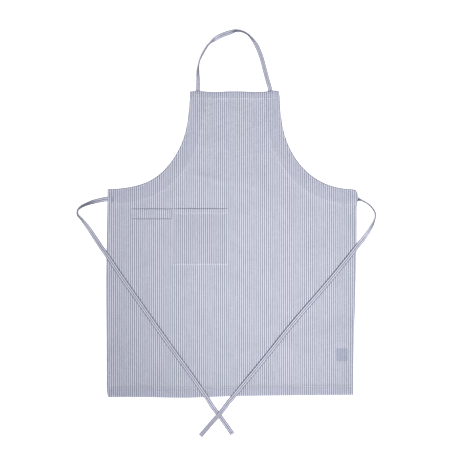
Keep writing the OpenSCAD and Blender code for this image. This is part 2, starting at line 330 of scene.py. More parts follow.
# Painted shade where cloth is doubled and where the label shows through it, and along its rolled edges
DOUBLED_SHADE = (0.935, 0.935, 0.96, 1)
SHOWN_THROUGH_SHADE = (0.79, 0.81, 0.87, 1)
ROLLED_EDGE_SHADE = (0.50, 0.51, 0.56, 1)
# The tape's two yarns and its plain side, and painted shade along both its edges and where it stands on
# edge
TAPE_WHITE = (0.80, 0.82, 0.955, 1)
TAPE_BLUE = (0.19, 0.208, 0.315, 1)
TAPE_PLAIN = (0.49, 0.50, 0.61, 1)
TAPE_EDGE_SHADE = (0.63, 0.645, 0.75, 1)
TAPE_ON_EDGE_SHADE = (0.42, 0.42, 0.45, 1)
LABEL_DARK = (0.20, 0.22, 0.31, 1)
LABEL_LIGHT = (0.27, 0.29, 0.39, 1)
# Pitch of the yarns, softness of a stripe's edges, relief of the weave, and pitch of thread and label ribs
YARN = 0.00055
STRIPE_EDGE = 0.00025
WEAVE_RELIEF = 0.00012
FINE_RELIEF = 0.0001
TWIST = 0.0007
RIB = 0.0006


def woven(look, across, along, phase, pitch=STRIPE, wander=0.0007, white=WHITE_YARN, blue=BLUE_YARN):
    """Colour and relief of striped plain weave, from places across and along its stripes."""
    drift = look.noise(look.joined(look.math("MULTIPLY", across, 9.0), along), 22.0)
    place = look.math("ADD", across, look.math("MULTIPLY_ADD", drift, wander, phase - wander / 2))
    fold = look.math("PINGPONG", place, pitch / 2)
    stripe = look.ramp(fold, pitch / 4 - STRIPE_EDGE, pitch / 4 + STRIPE_EDGE)
    crossing = look.math("MULTIPLY", look.wave(place, 2 * YARN), look.wave(along, 2 * YARN))
    weave = look.math("MULTIPLY_ADD", crossing, 0.5, 0.5)
    shown = look.math("MULTIPLY", stripe, look.ramp(weave, 0.1, 0.45, 0.72, 1.0))
    slub = look.joined(look.math("MULTIPLY", across, 90.0), along)
    shown = look.math("MULTIPLY", shown, look.mottled(slub, 16.0, 3.0, 0.82, 1.08))
    return look.blended(shown, white, blue), weave


def cloth_material(name, phase, shade=WHITE, doubled=DOUBLED_SHADE):
    """Cloth striped along Y, with painted shade where its layers, label and rim attributes say."""
    look = Surface(name, roughness=0.88, sheen=0.12)
    place = look.place()
    x, y, _ = look.split(place)
    colour, weave = woven(look, x, y, phase)
    # Painted shade where cloth is doubled and where the label shows through, in place of light coming
    # through thin cloth
    tint = look.blended(look.attribute("layers"), WHITE, doubled)
    colour = look.times(colour, look.blended(look.attribute("label"), tint, SHOWN_THROUGH_SHADE))
    # Painted shade along the rolled edges, where the rounded cloth turns from the light
    colour = look.tinted(colour, look.attribute("rim"), ROLLED_EDGE_SHADE)
    cloudy = look.mottled(place, 14.0, 4.0, 0.965, 1.03)
    colour = look.times(colour, look.blended(cloudy, BLACK, shade))
    rumpled = look.bump(look.noise(place, 75.0, 5.0), 0.0016, 0.5)
    return look.finish(colour, look.bump(weave, WEAVE_RELIEF, 0.6, rumpled))


def tape_material():
    """The same cloth folded lengthwise: its attribute holds place along, place across and plainness."""
    look = Surface("tape_cloth", roughness=0.86, sheen=0.12)
    along, across, plain = look.split(look.attribute("tape", "Vector"))
    colour, weave = woven(look, across, along, TAPE_STRIPE / 2, TAPE_STRIPE, 0.0005, TAPE_WHITE, TAPE_BLUE)
    colour = look.blended(plain, colour, TAPE_PLAIN)
    # Painted shade along both rounded edges of the tape
    edge = look.ramp(look.math("ABSOLUTE", across), TAPE_WIDTH * 0.40, TAPE_WIDTH * 0.49)
    colour = look.tinted(colour, edge, TAPE_EDGE_SHADE)
    # Painted shade where the tape stands on edge
    colour = look.tinted(colour, look.attribute("edgewise"), TAPE_ON_EDGE_SHADE)
    place = look.joined(along, across)
    worn = look.mottled(place, 60.0, 4.0, 0.9, 1.04)
    colour = look.times(colour, look.blended(worn, BLACK, WHITE))
    puckered = look.bump(look.noise(place, 240.0, 3.0), 0.0008, 0.5)
    return look.finish(colour, look.bump(weave, WEAVE_RELIEF, 0.6, puckered))


def thread_material(name, dark, light):
    """Spun thread, twisted."""
    look = Surface(name, roughness=0.6, sheen=0.2)
    place = look.place()
    x, y, z = look.split(place)
    slant = look.math("ADD", look.math("ADD", x, y), z)
    colour = look.blended(look.mottled(place, 900.0), dark, light)
    return look.finish(colour, look.bump(look.wave(slant, TWIST), FINE_RELIEF, 0.6))


def label_material():
    """Blank woven label, satin with fine ribs across it."""
    look = Surface("label_satin", roughness=0.5, sheen=0.1)
    place = look.place()
    _, y, _ = look.split(place)
    colour = look.blended(look.mottled(place, 400.0), LABEL_DARK, LABEL_LIGHT)
    return look.finish(colour, look.bump(look.wave(y, RIB), FINE_RELIEF, 0.5))


# ---------------- shape of the laid cloth


def smooth(t):
    """A smooth step from 0 at 0 to 1 at 1."""
    t = np.clip(t, 0, 1)
    return t * t * (3 - 2 * t)


def step_up(distance, slope, middle=0.5):
    """A smooth step over a slope, `middle` of the way along it where distance is 0."""
    return smooth(distance / slope + middle)


def pressed(off):
    """How far stitching presses cloth in: 1 on its row and 0 away from it."""
    return np.exp(-((off / SEAM_WIDTH) ** 2))


def rounded(inset, reach):
    """How far an edge is rounded off: 1 on the edge and 0 beyond the reach."""
    return 1 - np.sqrt(np.clip(inset / reach, 0, 1))


def armhole(side, grow, turns):
    """Points of an armhole, from the bib's corner down, on its curve grown by `grow`."""
    power = 2 / ARMHOLE_POWER[side]
    x = side * (SIDE_X - (ARMHOLE_REACH[side] + grow) * np.clip(np.cos(turns), 0, 1) ** power)
    y = BIB_TOP - (ARMHOLE_DEPTH + grow) * np.sin(turns) ** power
    return np.column_stack([x, y])


def armhole_inset(side, x, y):
    """How far points lie inside an armhole's curve: the grown curve that each one is on."""
    power = ARMHOLE_POWER[side]
    out = np.maximum(SIDE_X - side * x, 0)
    down = np.maximum(BIB_TOP - y, 0)
    low = np.full(x.shape, -0.2)
    high = np.full(x.shape, 1.2)
    for _ in range(40):
        grow = (low + high) / 2
        shares = out / (ARMHOLE_REACH[side] + grow), down / (ARMHOLE_DEPTH + grow)
        beyond = shares[0] ** power + shares[1] ** power > 1
        low = np.where(beyond, grow, low)
        high = np.where(beyond, high, grow)
    return low


def places(points):
    """How far along a polyline each of its points is, seen from above."""
    return np.concatenate([[0], np.cumsum(np.linalg.norm(np.diff(points[:, :2], axis=0), axis=1))])


def read_off(rows, place, wanted):
    """Rows of values that go with places, read off at the wanted places."""
    return np.column_stack([np.interp(wanted, place, column) for column in rows.T])


def evenly(points, count):
    """A polyline's points again, `count` of them evenly spaced, with both ends kept."""
    place = places(points)
    return read_off(points, place, np.linspace(0, place[-1], count))


def resampled(points, spacing):
    """A polyline's points again, about `spacing` apart, with both ends kept."""
    return evenly(points, max(int(round(places(points)[-1] / spacing)), 1) + 1)


def line(a, b):
    """A straight run of points, as its two ends."""
    return np.array([a, b], float)


TURNS = np.linspace(0, math.pi / 2, 400)


def inset_run(name, distance=0.0):
    """One part of the outline, this far inside: hems go right, sides go up and armholes go down."""
    if name.startswith("armhole"):
        return armhole(-1 if name == "armhole_left" else 1, distance, TURNS)
    inward, up = np.array([distance, 0]), np.array([0, distance])
    return line(*{
        "bottom": (HEM_LEFT + up, HEM_RIGHT + up),
        "top": ((BIB_LEFT, BIB_TOP - distance), (BIB_RIGHT, BIB_TOP - distance)),
        "left": (HEM_LEFT + inward, (-SIDE_X + distance, WAIST_Y)),
        "right": (HEM_RIGHT - inward, (SIDE_X - distance, WAIST_Y)),
    }[name])


def outline(spacing):
    """Points round the panel, anticlockwise from its bottom left corner."""
    names = ["bottom", "right", "armhole_right", "top", "armhole_left", "left"]
    backwards = ["armhole_right", "top", "left"]
    runs = [inset_run(name)[::-1] if name in backwards else inset_run(name) for name in names]
    return np.vstack([resampled(run, spacing)[:-1] for run in runs])


def insets(x, y):
    """How far points lie inside each part of the outline."""
    slope = (HEM_RIGHT[1] - HEM_LEFT[1]) / (HEM_RIGHT[0] - HEM_LEFT[0])
    up = (y - HEM_Y) / (WAIST_Y - HEM_Y)
    return {
        "bottom": y - HEM_LEFT[1] - slope * (x - HEM_LEFT[0]),
        "top": BIB_TOP - y,
        "left": x - HEM_LEFT[0] + up * (SIDE_X + HEM_LEFT[0]),
        "right": HEM_RIGHT[0] - x + up * (SIDE_X - HEM_RIGHT[0]),
        "armhole": np.minimum(armhole_inset(-1, x, y), armhole_inset(1, x, y)),
    }


def turned(inset, below_facing, slope):
    """How far hems and facings lie under each point, from 0 to 1. Each starts over `slope`."""
    hems = [step_up(width - inset[name], slope) for name, width in HEMS.items()]
    hems[2:] = [side * below_facing for side in hems[2:]]
    return np.max(hems, axis=0), step_up(FACING_WIDTH - inset["armhole"], slope)


def stitched(inset):
    """1 on each row of stitching and 0 away from it."""
    rows = [(name, width - HEM_STITCH) for name, width in HEMS.items()]
    rows += [("armhole", EDGE_STITCH), ("armhole", FACING_WIDTH - HEM_STITCH)]
    return np.max([pressed(inset[name] - at) for name, at in rows], axis=0)


def grid_faces(rows, columns):
    """The squares between the points of a grid, row by row."""
    corner = (np.arange(rows - 1)[:, None] * columns + np.arange(columns - 1)[None, :]).ravel()
    return np.column_stack([corner, corner + 1, corner + columns + 1, corner + columns])


# The dropped cloth: its grid, how tight its first waves are, its height and theirs, the frames that it
# settles for, and how often its heights are evened out afterwards
GRID = 0.0125
WRINKLE = 6.5
DROP = 0.009
DROP_WAVE = 0.010
SETTLING = 40
CALMING = 4
CLOTH_SETTINGS = {
    "quality": 6, "mass": 0.25, "air_damping": 2, "tension_stiffness": 25, "compression_stiffness": 25,
    "shear_stiffness": 8, "bending_stiffness": 4,
}
GRID_X = np.arange(-0.4, 0.4 + GRID / 2, GRID)
GRID_Y = np.arange(-0.575, 0.4 + GRID / 2, GRID)


def edge_distance(x, y):
    """How far points lie inside the nearest part of the outline."""
    return np.min(list(insets(x, y).values()), axis=0)


def dropped_cloth(x, y):
    """A wavy cloth over the grid's points inside the panel, and which points it uses."""
    start = [noise.noise(Vector((a * WRINKLE, b * WRINKLE, 3.1))) for a, b in zip(x.ravel(), y.ravel())]
    vertices = np.column_stack([x.ravel(), y.ravel(), DROP + DROP_WAVE * np.array(start)])
    inside = edge_distance(x, y) > -GRID / 3
    quads = grid_faces(*x.shape)
    quads = quads[inside.ravel()[quads].all(axis=1)]
    used, order = np.unique(quads, return_inverse=True)
    data = bpy.data.meshes.new("dropped_cloth")
    data.from_pydata(vertices[used].tolist(), [], order.reshape(quads.shape).tolist())
    cloth = linked("dropped_cloth", data)
    modifier = cloth.modifiers.new("cloth", "CLOTH")
    for name, value in CLOTH_SETTINGS.items():
        setattr(modifier.settings, name, value)
    modifier.collision_settings.distance_min = 0.001
    modifier.collision_settings.friction = 8
    return cloth, used


def filled(heights):
    """Heights with the places beyond the cloth's edge filled in from their neighbours."""
    for _ in range(6):
        shifts = ((1, 0), (-1, 0), (1, 1), (-1, 1))
        around = np.stack([np.roll(heights, shift, axis) for shift, axis in shifts])
        known = ~np.isnan(around)
        mean = np.where(known, around, 0).sum(0) / np.maximum(known.sum(0), 1)
        heights = np.where(np.isnan(heights) & known.any(0), mean * 0.8, heights)
    return np.nan_to_num(heights)


def calmed(heights):
    """Heights evened out with the four beside each."""
    for _ in range(CALMING):
        padded = np.pad(heights, 1, mode="edge")
        beside = padded[:-2, 1:-1] + padded[2:, 1:-1] + padded[1:-1, :-2] + padded[1:-1, 2:]
        heights = (heights + beside / 4) / 2
    return heights


def settled_ripples():
    """Heights over the grid of a cloth dropped on the table from a few millimetres up."""
    scene = bpy.context.scene
    x, y = np.meshgrid(GRID_X, GRID_Y)
    cloth, used = dropped_cloth(x, y)
    floor = level_square("floor", 1)
    floor.modifiers.new("collision", "COLLISION")
    floor.collision.thickness_outer = 0.001
    for index in range(1, SETTLING + 1):
        scene.frame_set(index)
    shape = cloth.evaluated_get(bpy.context.evaluated_depsgraph_get()).to_mesh()
    settled = np.array([vertex.co.z for vertex in shape.vertices])
    scene.frame_set(1)
    for obj in (cloth, floor):
        bpy.data.objects.remove(obj)
    heights = np.full(x.size, np.nan)
    heights[used] = np.maximum(settled - np.percentile(settled, 2), 0)
    return calmed(filled(heights.reshape(x.shape)))


RIPPLES = settled_ripples()


def sampled(x, y):
    """Height of the ripples at points, between the grid's."""
    column = np.clip((x - GRID_X[0]) / GRID, 0, len(GRID_X) - 1.001)
    row = np.clip((y - GRID_Y[0]) / GRID, 0, len(GRID_Y) - 1.001)
    i, j = column.astype(int), row.astype(int)
    u, v = smooth(column - i), smooth(row - j)
    low = RIPPLES[j, i] * (1 - u) + RIPPLES[j, i + 1] * u
    high = RIPPLES[j + 1, i] * (1 - u) + RIPPLES[j + 1, i + 1] * u
    return low * (1 - v) + high * v


def crease(x, y, start, end, width, height):
    """A soft straight crease between two points, fading at both ends."""
    start, end = np.array(start), np.array(end)
    along = end - start
    length = np.linalg.norm(along)
    t = ((x - start[0]) * along[0] + (y - start[1]) * along[1]) / length**2
    off = ((x - start[0]) * along[1] - (y - start[1]) * along[0]) / length
    return height * np.exp(-((off / width) ** 2)) * smooth(2.5 * t) * smooth(2.5 * (1 - t))


# Soft creases: both ends, width and height
CREASES = [
    ((-0.150, 0.118), (0.030, 0.078), 0.008, 0.0008),
    ((0.005, 0.082), (0.095, 0.038), 0.006, -0.0009),
    ((-0.046, -0.352), (0.002, -0.430), 0.006, 0.0008),
]

# Where the cloth was not smoothed quite straight: place, reach and shift of each small pull
PULLS = [
    ((BIB_LEFT, BIB_TOP), (0.014, 0.024), (0.0005, -0.0006)),
    ((STRAP_LEFT, BIB_TOP), (0.018, 0.030), (0, 0.0012)),
    ((-0.048, BIB_TOP), (0.026, 0.030), (0, -0.0020)),
    ((0.066, BIB_TOP), (0.028, 0.030), (0, -0.0017)),
    ((BIB_LEFT, BIB_TOP - 0.045), (0.060, 0.070), (-0.0030, 0)),
    ((BIB_RIGHT, BIB_TOP - 0.045), (0.060, 0.070), (0.0030, 0)),
    ((0.122, BIB_TOP), (0.016, 0.030), (0.0005, 0.0024)),
    ((BIB_RIGHT, BIB_TOP), (0.007, 0.010), (-0.0012, -0.0018)),
    ((-0.310, 0.075), (0.050, 0.030), (0, 0.0014)),
    ((-0.220, 0.105), (0.060, 0.060), (0.0018, -0.0018)),
    ((SIDE_X, WAIST_Y - 0.020), (0.050, 0.018), (0.0036, 0.0004)),
    ((SIDE_X + 0.002, WAIST_Y), (0.008, 0.007), (-0.0028, -0.0022)),
    ((SIDE_X, -0.110), (0.050, 0.170), (0.0034, 0)),
    ((-SIDE_X, -0.180), (0.050, 0.180), (-0.0030, 0)),
    ((-0.130, HEM_Y), (0.100, 0.040), (0, -0.0040)),
    ((HEM_LEFT[0], HEM_Y), (0.020, 0.016), (0.0032, 0)),
]


def laid(points):
    """Points as the cloth lies: pulled a little, and lifted by its ripples and creases."""
    points = np.array(points, float)
    x, y = points[:, 0].copy(), points[:, 1].copy()
    lift = sampled(x, y)
    for form in CREASES:
        lift += crease(x, y, *form)
    points[:, 2] += np.maximum(lift, 0)
    for place, reach, shift in PULLS:
        weight = np.exp(-(((x - place[0]) / reach[0]) ** 2) - ((y - place[1]) / reach[1]) ** 2)
        points[:, 0] += shift[0] * weight
        points[:, 1] += shift[1] * weight
    return points


def over_tails(x, y):
    """1 where the panel lies over a tape's sewn end, and 0 away from it."""
    def near(distance):
        return step_up(distance, SLOPE, 0.9)

    beside = np.minimum(np.abs(x - STRAP_LEFT), np.abs(x - STRAP_RIGHT))
    straps = near(TAPE_WIDTH / 2 - beside) * near(y - BIB_TOP + STRAP_TAIL)
    ties = near(TAPE_WIDTH / 2 - np.abs(y - TIE_Y)) * near(np.abs(x) - SIDE_X + TIE_TAIL)
    return np.maximum(straps, ties)


def face_height(x, y):
    """Height of the panel's face before its ripples, how far it is doubled, and its inset."""
    inset = insets(x, y)
    below_facing = y < WAIST_Y - FACING_WIDTH
    doubled = np.maximum(*turned(inset, below_facing, SLOPE))
    edge = np.min(list(inset.values()), axis=0)
    tails = over_tails(x, y)
    height = FACE_SINGLE + (FACE_DOUBLE - FACE_SINGLE) * doubled + TAIL_LIFT * tails
    rounding = ROUND_OFF * rounded(edge, RIM) + PINCH * stitched(inset)
    hems, facings = turned(inset, below_facing, STEP)
    return height - rounding * (1 - tails), np.maximum(hems, FACING_SHADE * facings), edge


def panel_face(x, y):
    """Height of the panel's face before its ripples."""
    return face_height(x, y)[0]


# ---------------- mesh building


def shell(points, faces, top, bottom):
    """A closed cloth: faces at heights top and bottom, joined round their rim."""
    count = len(points)
    faces = np.array(faces)
    vertices = np.vstack([np.column_stack([points, top]), np.column_stack([points, bottom])])
    starts = faces.ravel()
    ends = np.roll(faces, -1, axis=1).ravel()
    rim = ~np.isin(starts * count + ends, ends * count + starts)
    sides = [(b, a, a + count, b + count) for a, b in zip(starts[rim].tolist(), ends[rim].tolist())]
    return vertices, faces.tolist() + (faces[:, ::-1] + count).tolist() + sides


def tube_faces(rings, sides):
    """The quads round a tube of rings of points, and its two end caps."""
    quads = []
    for i in range(rings - 1):
        for k in range(sides):
            a, b = i * sides + k, i * sides + (k + 1) % sides
            quads.append((a, b, b + sides, a + sides))
    last = (rings - 1) * sides
    return quads, [tuple(range(sides))[::-1], tuple(range(last, last + sides))]


def joined(parts):
    """Several (vertices, faces) as one."""
    vertices, faces, offset = [], [], 0
    for part_vertices, part_faces in parts:
        vertices.append(part_vertices)
        faces += [[index + offset for index in face] for face in part_faces]
        offset += len(part_vertices)
    return np.vstack(vertices), faces


def add_piece(name, vertices, faces, material, slot, **values):
    """A smooth mesh object with its material, and an attribute for each array in values."""
    data = bpy.data.meshes.new(name)
    data.from_pydata(np.asarray(vertices).tolist(), [], faces)
    data.polygons.foreach_set("use_smooth", [True] * len(data.polygons))
    data.materials.append(material)
    for key, value in values.items():
        kind, field = ("FLOAT", "value") if value.ndim == 1 else ("FLOAT_VECTOR", "vector")
        data.attributes.new(key, kind, "POINT").data.foreach_set(field, value.ravel().astype(np.float32))
    data.update()
    piece = linked(name, data)
    return piece


def cloth_piece(name, vertices, faces, material, slot, node, **values):
    """A piece that lies and moves with the panel, and stands for one CAD node."""
    piece = add_piece(name, laid(vertices), faces, material, slot, **values)
    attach(piece, "cloth")
    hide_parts(node)
    return piece


def spread(edge, rows):
    """Points of the rows, each kept where it is clear of the edge and of all the rows before."""
    known = edge
    for points, clearance in rows:
        tree = kdtree.KDTree(len(known))
        for index, point in enumerate(known):
            tree.insert((*point, 0), index)
        tree.balance()
        clear = [tree.find((*point, 0))[2] > clearance for point in points]
        known = np.vstack([known, points[np.array(clear, bool)]])
    return known[len(edge):]


# ---------------- the panel and its facings

# The panel's mesh: its grid, the points along its rows, and the least distance between rows
CELL = 0.0045
ROW_STEP = CELL * 0.9
POINT_GAP = 0.0004


def edges_of(node):
    """A node's left, lower, right and upper edge."""
    low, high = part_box(node)
    return low[0], low[1], high[0], high[1]


def inside_edges(edges, x, y):
    """How far points lie inside a rectangle's sides, its lower edge and its upper edge."""
    left, foot, right, top = edges
    return np.minimum(x - left, right - x), y - foot, top - y


LABEL = edges_of("care_label")
POCKET = edges_of("pocket_panel")
LOOP = edges_of("towel_loop")


def offset_rows(name, distances):
    """Points on the curves at these distances inside one part of the outline."""
    return [resampled(inset_run(name, distance), ROW_STEP) for distance in distances]


def ring(edges, grow):
    """The corners of a rectangle that is grown by `grow`, closed."""
    left, foot, right, top = edges[0] - grow, edges[1] - grow, edges[2] + grow, edges[3] + grow
    return np.array([(left, foot), (right, foot), (right, top), (left, top), (left, foot)])


def panel_points():
    """The outline's points, and points inside: rows along hems and stitching, and a grid."""
    rim = [0.0005, RIM / 2, RIM]
    beside = (STEP / 2, -STEP / 2, -HEM_STITCH, -0.0038)
    insides = {name: rim + [width + step for step in beside] for name, width in HEMS.items()}
    facing = rim + [0.0035, EDGE_STITCH, 0.0065] + [FACING_WIDTH + step for step in beside]
    insides |= {"armhole_left": facing, "armhole_right": facing}
    rows = []
    for name, distances in insides.items():
        for points in offset_rows(name, distances):
            rows.append((points[edge_distance(*points.T) > POINT_GAP], POINT_GAP))
    for grow in (-POINT_GAP, POINT_GAP):
        rows.append((resampled(ring(LABEL, grow), ROW_STEP), POINT_GAP))
    x, y = np.meshgrid(np.arange(-SIDE_X, SIDE_X, CELL), np.arange(HEM_Y, BIB_TOP, CELL))
    x[::2] += CELL / 2
    inner = np.column_stack([x.ravel(), y.ravel()])
    rows.append((inner[edge_distance(*inner.T) > 0.003], CELL * 0.45))
    edge = outline(ROW_STEP)
    return edge, spread(edge, rows)


def strip_shell(near, far, low, high, columns=4):
    """A strip of cloth between two rows of points, from height low to height high."""
    share = np.linspace(0, 1, columns)[:, None, None]
    points = (near * (1 - share) + far * share).reshape(-1, 2)
    faces = grid_faces(columns, len(near))
    a, b, c = (points[index] for index in faces[0][:3])
    if (b[0] - a[0]) * (c[1] - a[1]) - (b[1] - a[1]) * (c[0] - a[0]) < 0:
        faces = faces[:, ::-1]
    return shell(points, faces, np.full(len(points), high), np.full(len(points), low))


def turned_hems():
    """The strips of the panel that are turned under along its bottom, top and sides."""
    parts = []
    for name, width in HEMS.items():
        near, far = offset_rows(name, [0.0006, width])
        if name == "top":
            ends = np.array([BIB_LEFT, BIB_RIGHT])
            far[:, 0] = np.interp(far[:, 0], ends, ends + [0.001, -0.001])
        if name in ("left", "right"):
            share = np.linspace(0, 1, len(near))[:, None] * (1 - FACING_WIDTH / (WAIST_Y - HEM_Y))
            near, far = (run[0] + (run[-1] - run[0]) * share for run in (near, far))
        parts.append(strip_shell(near, far, CLEAR, CLEAR + CLOTH))
    return parts


def build_panel(material):
    """The large cloth, with its hems turned under."""
    edge, inner = panel_points()
    points = [Vector(point) for point in np.vstack([edge, inner])]
    found, _, faces, *_ = delaunay_2d_cdt(points, [], [list(range(len(edge)))], 1, 1e-7)
    flat = np.array([tuple(point) for point in found])
    x, y = flat[:, 0], flat[:, 1]
    top, doubled, inset = face_height(x, y)
    under_edge = 0.0009 * (1 - smooth(inset / 0.001))
    bottom = np.maximum(top - CLOTH - under_edge, CLEAR)
    # Painted shade along the rounded edges above the waist, where the cloth turns from the light
    edge_shade = 0.8 * (1 - smooth((inset - 0.0006) / 0.0012)) * (y > WAIST_Y - 0.004)
    in_label = np.min(inside_edges(LABEL, x, y), axis=0) > 0
    vertices, faces = joined([shell(flat, faces, top, bottom), *turned_hems()])
    hems = np.ones(len(vertices) - 2 * len(flat))
    # The layers, label and rim attributes carry painted shade: over doubled cloth, over the label and along
    # the edges
    piece = cloth_piece(
        "apron_panel", vertices, faces, material, "striped_cloth", "body_panel",
        layers=np.concatenate([doubled, doubled, hems]),
        label=np.concatenate([in_label, in_label, 0 * hems]),
        rim=np.concatenate([edge_shade, edge_shade, 0 * hems]),
    )


# ---------------- tapes


def spline(route, steps=24):
    """Many points on the smooth curve through a route's points."""
    route = np.array(route, float)
    points = []
    for i in range(len(route) - 1):
        a, b = route[max(i - 1, 0)], route[i]
        c, d = route[i + 1], route[min(i + 2, len(route) - 1)]
        for t in np.arange(steps) / steps:
            curve = 2 * b + (c - a) * t + (2 * a - 5 * b + 4 * c - d) * t * t
            points.append(0.5 * (curve + (3 * b - a - 3 * c + d) * t**3))
    points.append(route[-1])
    return np.array(points)


def tape_section():
    """The tape's section, a little thicker at its folded edges."""
    half, t = TAPE_WIDTH / 2, TAPE_T / 2
    face = [(half - 0.0004, t), (half * 0.62, t * 0.8), (0, t * 0.72), (-half * 0.62, t * 0.8)]
    upper = [(half, t * 0.35), *face, (-half + 0.0004, t), (-half, t * 0.35)]
    return np.array(upper + [(x, -z) for x, z in upper[::-1]])


def tape_frame(path):
    """A tape's spine over a path, and its directions along, across and through it."""
    centre, tilt = path[:, :2], np.radians(path[:, 3:4])
    foot = np.maximum(path[:, 2:3], 0) * LOWERED
    middle = foot + TAPE_WIDTH / 2 * np.abs(np.sin(tilt)) + TAPE_T / 2 * np.abs(np.cos(tilt)) + CLEAR
    heading = np.gradient(centre, axis=0)
    heading /= np.linalg.norm(heading, axis=1)[:, None]
    level = np.column_stack([-heading[:, 1], heading[:, 0], np.zeros(len(path))])
    upright = np.array([0, 0, 1])
    wide = level * np.cos(tilt) + upright * np.sin(tilt)
    thick = upright * np.cos(tilt) - level * np.sin(tilt)
    return laid(np.hstack([centre, middle])), heading, wide, thick


def tape_stitches(along, spine, heading, wide, thick):
    """Stitches near one edge of a tape's upper face."""
    pitch = np.arange(along[0] + STITCH_PITCH, along[-1] - STITCH_PITCH, STITCH_PITCH)
    on_face = spine + wide * TAPE_WIDTH * 0.38 + thick * TAPE_T * 0.42
    headings = np.column_stack([heading, np.zeros(len(along))])
    places_and_ways = (read_off(rows, along, pitch) for rows in (on_face, headings, thick))
    return sew(*places_and_ways, length=TAPE_STITCH, radius=TAPE_THREAD)


def build_tape(name, route, material, thread, nodes):
    """One tape along its route, with its edge stitching."""
    path = resampled(spline(route), TAPE_RINGS)
    along = places(path)
    spine, heading, wide, thick = tape_frame(path)
    section = tape_section()
    rows = spine[:, None] + wide[:, None] * section[None, :, :1] + thick[:, None] * section[None, :, 1:]
    rings, sides = len(path), len(section)
    quads, caps = tube_faces(rings, sides)
    place = np.column_stack([
        np.repeat(along, sides), np.tile(section[:, 0], rings),
        np.repeat(np.clip(path[:, 4], 0, 1), sides),
    ])
    # Painted shade where the tape stands on edge, halved where its face already turns from the key light
    lit = 1 - 0.5 * np.clip(thick[:, 1] / 0.6, 0, 1)
    edgewise = np.repeat(smooth((np.abs(path[:, 3]) - 20) / 40) * lit, sides)
    points = rows.reshape(-1, 3)
    piece = add_piece(name, points, quads + caps, material, "tape", tape=place, edgewise=edgewise)
    sewn = tape_stitches(along, spine, heading, wide, thick)
    stitches = add_piece(f"{name}_stitching", *sewn, thread, "thread")
    for part in (piece, stitches):
        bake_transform(part)
    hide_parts(*nodes)


def build_tapes(material, thread):
    """The neck strap and both ties, each bending where it leaves the cloth."""
    build_tape(
        "neck_strap_tape", NECK_ROUTE, material, thread,
        ["neck_strap", "neck_strap_tails"],
    )
    for (side, name), route in zip(SIDES, (LEFT_TIE_ROUTE, RIGHT_TIE_ROUTE)):
        build_tape(
            f"{name}_tie_tape", route, material, thread,
            [f"{name}_tie", f"{name}_tie_tail"],
        )


# ---------------- facings, pocket, towel loop and label


def build_facings(material):
    """Shaped facings behind both armholes, under the panel."""
    for side, name in SIDES:
        node = f"{name}_armhole_facing"
        rows = []
        for grow in (0.0008, FACING_WIDTH):
            first = math.asin(((BIB_HEM + STEP) / (ARMHOLE_DEPTH + grow)) ** (ARMHOLE_POWER[side] / 2))
            turns = np.linspace(first, math.pi / 2, 400)
            rows.append(resampled(armhole(side, grow, turns), CELL))
        rows[1] = evenly(rows[1], len(rows[0]))
        vertices, faces = strip_shell(*rows, CLEAR, CLEAR + CLOTH * 0.8, columns=10)
        layers = np.ones(len(vertices))
        piece = cloth_piece(
            f"{name}_facing_cloth", vertices, faces, material, "facing_cloth", node, layers=layers)


def crown(u):
    """Bulge of cloth that is sewn down at both ends, from 0 there to 1 at its middle."""
    return np.sin(math.pi * np.clip(u, 0, 1)) ** 0.7


EDGE_COLUMNS = [0, 0.0006, 0.0013, HEM_STITCH, 0.0028, 0.0045]


def edged(low, high, low_steps=EDGE_COLUMNS, high_steps=EDGE_COLUMNS, spacing=0.004):
    """Positions from low to high, evenly spaced, with extra ones beside both ends."""
    first, last = low + low_steps[-1], high - high_steps[-1]
    middle = np.linspace(first, last, int((last - first) / spacing) + 1)[1:-1]
    before, after = [low + step for step in low_steps], [high - step for step in high_steps[::-1]]
    return np.array([*before, *middle, *after])


def patch_depth(layers):
    return PATCH * (1 + 0.7 * layers)


def patch(name, xs, ys, lift, layers_at, material, node, edge_shade_at=None):
    """A cloth sewn on over a grid, lift(x, y) above the panel, and a function for its face's height."""
    def face_at(x, y):
        return panel_face(x, y) + patch_depth(layers_at(x, y)) + lift(x, y)

    x, y = (values.ravel() for values in np.meshgrid(xs, ys))
    layers, top = layers_at(x, y), face_at(x, y)
    # Painted shade along the edge that edge_shade_at marks, carried by the rim attribute
    rim = edge_shade_at(x, y) if edge_shade_at else 0 * x
    faces = grid_faces(len(ys), len(xs))
    vertices, faces = shell(np.column_stack([x, y]), faces, top, top - patch_depth(layers))
    piece = cloth_piece(
        name, vertices, faces, material, "striped_cloth", node,
        layers=np.tile(layers, 2), rim=np.tile(rim, 2))
    return piece, face_at


POCKET_HEM = 0.014
SEAM_MARGIN = 0.006
# A sewn-on cloth's thickness, its gap to the panel, and how deep stitching and edges press it
PATCH = 0.00032
PATCH_GAP = 0.00015
PRESS = 0.0002
# How far the pocket stands open at its mouth and bags below it, and how far the loop stands off
POCKET_GAPE = 0.0001
POCKET_BAG = 0.0012
LOOP_GAPE = 0.0004


def sewn_span(edges, x):
    """Place across a sewn-on piece, from 0 at one seam margin to 1 at the other."""
    return (x - edges[0] - SEAM_MARGIN) / (edges[2] - edges[0] - 2 * SEAM_MARGIN)


def pocket_lift(x, y):
    """How far the pocket stands off the panel, a little open at its mouth."""
    side, foot, mouth = inside_edges(POCKET, x, y)
    sides = crown(sewn_span(POCKET, x))
    up = np.clip((foot - SEAM_MARGIN) / (POCKET[3] - POCKET[1] - SEAM_MARGIN), 0, 1)
    open_up = POCKET_GAPE * sides * up**1.6 + POCKET_BAG * sides * crown(up * 0.9)
    sewn = np.minimum(side, foot)
    seam, hem = pressed(sewn - HEM_STITCH), pressed(mouth - POCKET_HEM + HEM_STITCH)
    fold = rounded(np.minimum(sewn, mouth), 0.0014)
    return open_up + PATCH_GAP - PRESS * seam - PRESS * hem - PRESS * fold


